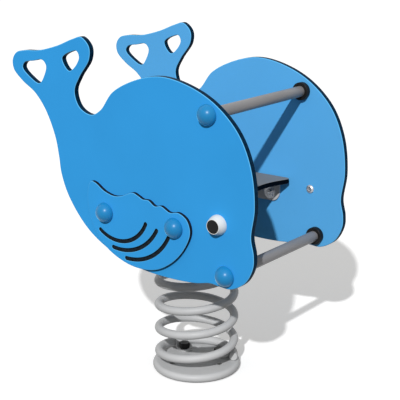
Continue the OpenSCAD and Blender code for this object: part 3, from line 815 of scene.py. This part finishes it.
# Strip section carried along the foot, round the bend, up the wall and over the wire: (radius, height) rows
def clampGrid(direction, start, upward, wireHeight):
    plate, edge = clampShape["plate"] * mm, clampShape["edge"] * mm
    bend, width = clampShape["bend"] * mm, clampShape["width"] * mm
    lipR = wireR + clampShape["lipGap"] * mm + plate / 2
    wallR = coilR - lipR
    low = np.linspace(-np.pi / 2, 0, 8)
    over = np.linspace(np.pi, math.radians(clampShape["lipAngle"]), 16)
    line = np.concatenate([
        [[clampShape["footIn"] * mm, plate / 2], [clampShape["footIn"] * mm + edge, plate / 2]],
        np.stack([wallR - bend + bend * np.cos(low), plate / 2 + bend + bend * np.sin(low)], 1),
        np.stack([coilR + lipR * np.cos(over), wireHeight + lipR * np.sin(over)], 1)])
    along = np.gradient(line, axis=0)
    along /= np.linalg.norm(along, axis=1)[:, None]
    face = np.stack([along[:, 1], -along[:, 0]], 1)
    around, beside, above = sectionCorners()
    wide = beside * (width / 2 - edge) + edge * np.cos(around)
    thick = above * (plate / 2 - edge) + edge * np.sin(around)
    share = np.ones(len(line))
    share[[0, -1]] = clampShape["endShare"]
    thick = thick * share[:, None]
    r = line[:, :1] + thick * face[:, :1]
    z = line[:, 1:] + thick * face[:, 1:]
    grid = closedEnds(np.stack([r, wide + 0 * r, z], -1))
    c, s = math.cos(direction), math.sin(direction)
    return np.stack([grid[..., 0] * c - grid[..., 1] * s, grid[..., 0] * s + grid[..., 1] * c,
                     start + upward * grid[..., 2]], -1)


clampRows = (("lower_clamps", "lower_studs", "base", 1), ("upper_clamps", "upper_studs", "rider", -1))
for node, studs, body, upward in clampRows:
    blocks = []
    for low, high in solidBoxes(studs):
        centre = (low + high) / 2
        start = low[2] if upward > 0 else high[2]
        direction = math.atan2(centre[1], centre[0])
        # turns from the spring's tip to this clamp give the wire's height there
        t = (direction - math.radians(springShape["tipAngle"])) / (2 * np.pi) % 1
        t = t if upward > 0 else (turns - t) % 1
        wireHeight = gap + wireR + float(climbed(np.array(t)))
        blocks.append(gridBlock(clampGrid(direction, start, upward, wireHeight)))
    makePiece(node + "Skin", blocks, springGrey, body, [node], 40)
print("clamps bent")


# Nuts and their caps, studs and bolts

nutShape = {
    "corner": 0.25, "slope": 0.6,           # chamfer of the corners: its reach past the flats, and its slope
    "boreEdge": 0.5,
    "upperAcross": 19.2, "upperBore": 6.1,
    "finAcross": 16.0, "finBore": 5.1,
    "washerBore": 5.25, "washerEdge": 0.35,
}
threadShape = {"tip": 1.0, "tipCut": 0.9, "rings": 8}           # chamfered tip, and rows to a pitch
nutCapShape = {"across": 22.3, "footRing": 3.0, "foot": 0.4, "flare": 0.3, "skirt": 1.0, "edge": 0.5}
studShape = {"foot": 6.0, "plain": 5.9, "radius": 5.95, "pitch": 1.75, "dip": 0.5}
seatBoltShape = {
    "across": 9.6, "head": 3.6, "headCut": 0.3, "headSlope": 0.7,
    "shank": 3.0, "radius": 2.95, "thread": 8.0, "pitch": 1.0, "dip": 0.3,
}
finBoltShape = {
    "across": 16.0, "head": 6.0, "headCut": 0.4, "headSlope": 1.2,
    "shank": 5.0, "radius": 4.95, "thread": 14.0, "pitch": 1.5, "dip": 0.45,
}


# Corner radius of a hexagon from its width across flats
def hexCorner(across):
    return across / 2 / math.cos(math.pi / 6)


# Hexagonal nut with chamfered corners and a plain bore, as a closed loop of rows
def nutRows(across, height, bore):
    corner, edge = hexCorner(across), nutShape["boreEdge"]
    chamfered = across / 2 + nutShape["corner"]
    c = (corner - chamfered) * nutShape["slope"]
    return [(bore + edge, 0), (chamfered, 0), (corner, c, 1), (corner, height - c, 1), (chamfered, height),
            (bore + edge, height), (bore, height - edge), (bore, edge)]


# Threaded rows from one height to another, ending in a chamfered tip
def threadRows(radius, start, stop, pitch):
    count = int((stop - start) / pitch * threadShape["rings"])
    heights = np.linspace(start, stop - threadShape["tip"], count)
    return [(radius, h, 0, 1) for h in heights] + [(radius - threadShape["tipCut"], stop), (0, stop)]


# Hexagon bolt: a head with chamfered corners, a plain shank and a thread
def boltRows(bolt, tall):
    across, head, shank = (bolt[k] for k in ("across", "head", "shank"))
    corner, plain = hexCorner(across), tall - bolt["thread"]
    rows = [(0, 0), (across / 2 - bolt["headCut"], 0), (corner, bolt["headSlope"], 1), (corner, head, 1),
            (shank, head), (shank, plain)]
    return rows + threadRows(bolt["radius"], plain, tall, bolt["pitch"])


# Plain ring with rounded edges, as a closed loop of rows
def ringRows(outside, inside, tall, e):
    return (roundRim(outside, 0, e, 1) + roundRim(outside, tall, e, -1)[::-1]
            + [(inside + e, tall), (inside, tall - e), (inside, e), (inside + e, 0)])


# Cap over a nut: a hexagonal block with a short flared foot and a flat top
def nutCap(centre, side, low, high):
    across, foot, edge = (nutCapShape[k] for k in ("across", "foot", "edge"))
    tall, corner = (high[2] - low[2]) / mm, hexCorner(across)
    rows = [(0, 0), (across / 2 - nutCapShape["footRing"], 0), (across / 2 - foot, 0),
            (corner - nutCapShape["flare"], foot, 1), (corner, nutCapShape["skirt"], 1),
            (corner, tall - edge, 1), (corner - edge, tall, 1), (0, tall)]
    return uprightSite(turned(rows, across=across), centre, low[2], 1)


def upperNut(centre, side, low, high):
    across = nutShape["upperAcross"]
    rows = nutRows(across, (high[2] - low[2]) / mm, nutShape["upperBore"])
    return uprightSite(turned(rows, across=across), centre, low[2], 1)


# Stud: a plain foot at the carrier, then a thread that hangs down from it
def upperStud(centre, side, low, high):
    foot, plain, pitch = (studShape[k] for k in ("foot", "plain", "pitch"))
    rows = [(0, 0), (plain, 0), (plain, foot)]
    rows += threadRows(studShape["radius"], foot, (high[2] - low[2]) / mm, pitch)
    return uprightSite(turned(rows, pitch=pitch, dip=studShape["dip"]), centre, high[2], -1)


def seatBolt(centre, side, low, high):
    rows = boltRows(seatBoltShape, (high[2] - low[2]) / mm)
    thread = {k: seatBoltShape[k] for k in ("across", "pitch", "dip")}
    return uprightSite(turned(rows, **thread), centre, low[2], 1)


# Fin bolts run from the head under the cap to a thread that stands out of the nut
def finBolt(centre, side, low, high):
    tall, inner = acrossSize(low, high)[1:]
    rows = [(row[0], tall - row[1]) + tuple(row[2:]) for row in boltRows(finBoltShape, tall)]
    thread = {k: finBoltShape[k] for k in ("across", "pitch", "dip")}
    return acrossSite(turned(rows, **thread), centre, side, inner)


def finNut(centre, side, low, high):
    tall, inner = acrossSize(low, high)[1:]
    rows = nutRows(nutShape["finAcross"], tall, nutShape["finBore"])
    return acrossSite(turned(rows, across=nutShape["finAcross"]), centre, side, inner)


def finWasher(centre, side, low, high):
    reach, tall, inner = acrossSize(low, high)
    rows = ringRows(reach, nutShape["washerBore"], tall, nutShape["washerEdge"])
    return acrossSite(turned(rows), centre, side, inner)


groupPiece("lower_nut_caps", nutCap, blackPlastic, "base")
groupPiece("upper_nuts", upperNut, brightSteel, "rider", closeRows=True)
groupPiece("upper_studs", upperStud, brightSteel, "rider")
groupPiece("seat_bolts", seatBolt, brightSteel, "rider")
groupPiece("fin_bolts", finBolt, brightSteel, "rider")
groupPiece("fin_nuts", finNut, brightSteel, "rider", closeRows=True)
groupPiece("fin_washers", finWasher, brightSteel, "rider", closeRows=True)
print("nuts and bolts turned")


# Bolt caps and the rings they sit on

capShape = {
    "lip": 1.2, "lipIn": 0.45, "lipRise": 0.12, "edgeIn": 0.15, "domeIn": 0.25,     # the rounded lip
    "wall": 3.0, "seat": 20.7, "seatDepth": 1.0, "seatCut": 0.3,
    "baseBore": 5.25, "baseEdge": 0.4,
}


def capBase(centre, side, low, high):
    reach, tall, inner = acrossSize(low, high)
    rows = ringRows(reach, capShape["baseBore"], tall, capShape["baseEdge"])
    return acrossSite(turned(rows), centre, side, inner)


# Cap: a hollow that follows its dome, a seat for the base ring, a rounded lip, and a dome cut from a sphere
def boltCap(centre, side, low, high):
    reach, tall, inner = acrossSize(low, high)
    ball = (reach**2 + tall**2) / (2 * tall)
    seat, depth, cut = (capShape[k] for k in ("seat", "seatDepth", "seatCut"))
    hollow = ball - capShape["wall"]
    rim = math.asin((reach - capShape["domeIn"]) / ball)
    dome = [(ball * math.sin(a), tall - ball + ball * math.cos(a)) for a in np.linspace(rim, 0, 22)]
    under = math.acos((depth - tall + ball) / hollow)
    inside = [(hollow * math.sin(a), tall - ball + hollow * math.cos(a)) for a in np.linspace(0, under, 12)]
    inside += [(seat, depth), (seat, cut), (seat + cut, 0)]
    lip = [(reach - capShape["lip"], 0), (reach - capShape["lipIn"], capShape["lipRise"]),
           (reach - capShape["edgeIn"], dome[0][1] / 2)]
    return acrossSite(turned(inside + lip + dome, fineSides), centre, side, inner)


groupPiece("cap_bases", capBase, capBlue, "rider", closeRows=True)
groupPiece("bolt_caps", boltCap, capBlue, "rider", sharp=50)
print("caps turned")


# Hand bar, foot bar and their collars

barShape = {"wall": 2.5, "endEdge": 0.4}
collarShape = {"edge": 1.2, "edgeSteps": 6, "bore": 12.8, "boreEdge": 0.5}


# Bar: a round tube from one panel to the other
def bar(centre, side, low, high):
    reach = (high[0] - low[0]) / 2 / mm
    rows = ringRows(reach, reach - barShape["wall"], (high[1] - low[1]) / mm, barShape["endEdge"])
    return acrossSite(turned(rows, fineSides), centre, 1, low[1])


# Collar: a short ring, rounded where it faces the rider and flat against the panel
def collar(centre, side, low, high):
    reach, tall, inner = acrossSize(low, high)
    bore, edge = collarShape["bore"], collarShape["boreEdge"]
    rows = [(bore + edge, 0)] + roundRim(reach, 0, collarShape["edge"], 1, collarShape["edgeSteps"])
    rows += [(reach, tall), (bore, tall), (bore, edge)]
    return acrossSite(turned(rows, fineSides), centre, side, inner)


groupPiece("handle_tube", bar, tubeGrey, "rider", closeRows=True)
groupPiece("foot_tube", bar, tubeGrey, "rider", closeRows=True)
groupPiece("tube_collars", collar, blackPlastic, "rider", closeRows=True)
print("bars ready")


# Eyes

eyeShape = {
    "rim": 0.5, "fillet": 1.2, "footEdge": 0.4, "footIn": 0.05,
    "recess": 1.5, "recessEdge": 0.15,
    "pupilFit": 0.1, "pupilRim": 0.9, "pupilIn": 0.25, "pupilSag": 0.6,
}
eyeScrewShape = {
    "head": 4.8, "shank": 4.0, "faceEdge": 0.5,
    "ball": 12.5, "ballShare": 0.54, "domeEnd": 0.15,           # sphere of the head, and where it stops
    "socket": 8.0, "socketRim": 1.0, "socketEdge": 0.3, "socketShare": 0.55,
}


# White button: its side follows a cosine from the foot to a small rounded crown with a recess for the pupil
def eyeButton(centre, side, low, high):
    reach, tall, inner = acrossSize(low, high)
    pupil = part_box("left_pupil")
    pupilR = (pupil[1].x - pupil[0].x) / 2 / mm
    recessR, fillet = pupilR + eyeShape["pupilFit"], eyeShape["fillet"]
    crown, sunk = pupilR + eyeShape["rim"] + fillet, tall - eyeShape["recess"]
    t = np.linspace(0, 1, 14)[1:]
    flank = list(zip(crown + (reach - crown) * np.cos(np.pi / 2 * t), (tall - fillet) * t))
    a = np.linspace(0, np.pi / 2, 7)[1:]
    rounded = list(zip(crown - fillet * (1 - np.cos(a)), tall - fillet * (1 - np.sin(a))))
    foot = [(0, 0), (reach - eyeShape["footEdge"], 0), (reach - eyeShape["footIn"], eyeShape["footEdge"])]
    hollow = [(recessR, tall - eyeShape["recessEdge"]), (recessR, sunk), (0, sunk)]
    return acrossSite(turned(foot + flank + rounded + hollow, fineSides), centre, side, inner)


# Pupil: a thin lens whose height falls with the square of the radius
def pupilDisc(centre, side, low, high):
    reach, tall, inner = acrossSize(low, high)
    t = np.linspace(1, 0, 12)
    lens = list(zip((reach - eyeShape["pupilIn"]) * t, tall - eyeShape["pupilSag"] * t**2))
    rows = [(0, 0), (reach, 0), (reach, tall - eyeShape["pupilRim"])] + lens
    return acrossSite(turned(rows, fineSides), centre, side, inner)


# Button-head screw inside the panel: shank, a head cut from a ball, and a hexagonal socket
def eyeScrew(centre, side, low, high):
    reach, tall, inner = acrossSize(low, high)
    head, shank, ball, across = (eyeScrewShape[k] for k in ("head", "shank", "ball", "socket"))
    middle = eyeScrewShape["ballShare"] * 2 * reach
    heights = np.linspace(middle - math.sqrt(ball**2 - reach**2), eyeScrewShape["domeEnd"], 9)
    dome = list(zip(np.sqrt(ball**2 - (middle - heights)**2), heights))
    deep = head * eyeScrewShape["socketShare"]
    face = [(dome[-1][0] - eyeScrewShape["faceEdge"], 0), (across / 2 + eyeScrewShape["socketRim"], 0),
            (across, eyeScrewShape["socketEdge"], 1), (across, deep, 1), (0, deep)]
    rows = [(0, tall), (shank, tall), (shank, head), (reach, head)] + dome + face
    return acrossSite(turned(rows, across=across), centre, side, inner)


for name in ("right", "left"):
    groupPiece(name + "_eye", eyeButton, eyeWhite, "rider")
    groupPiece(name + "_pupil", pupilDisc, blackPlastic, "rider")
groupPiece("eye_screws", eyeScrew, brightSteel, "rider")
print("eyes ready")


# Pieces that stay as the frame has them, hidden inside the others

hiddenFinish = {
    "lower_studs": brightSteel, "lower_nuts": brightSteel, "tube_plugs": brightSteel,
    "tube_bolts": brightSteel, "seat_inserts": insertBrass,
}
for node, finish in hiddenFinish.items():
    cadNodes[node].data.materials.clear()
    cadNodes[node].data.materials.append(finish)
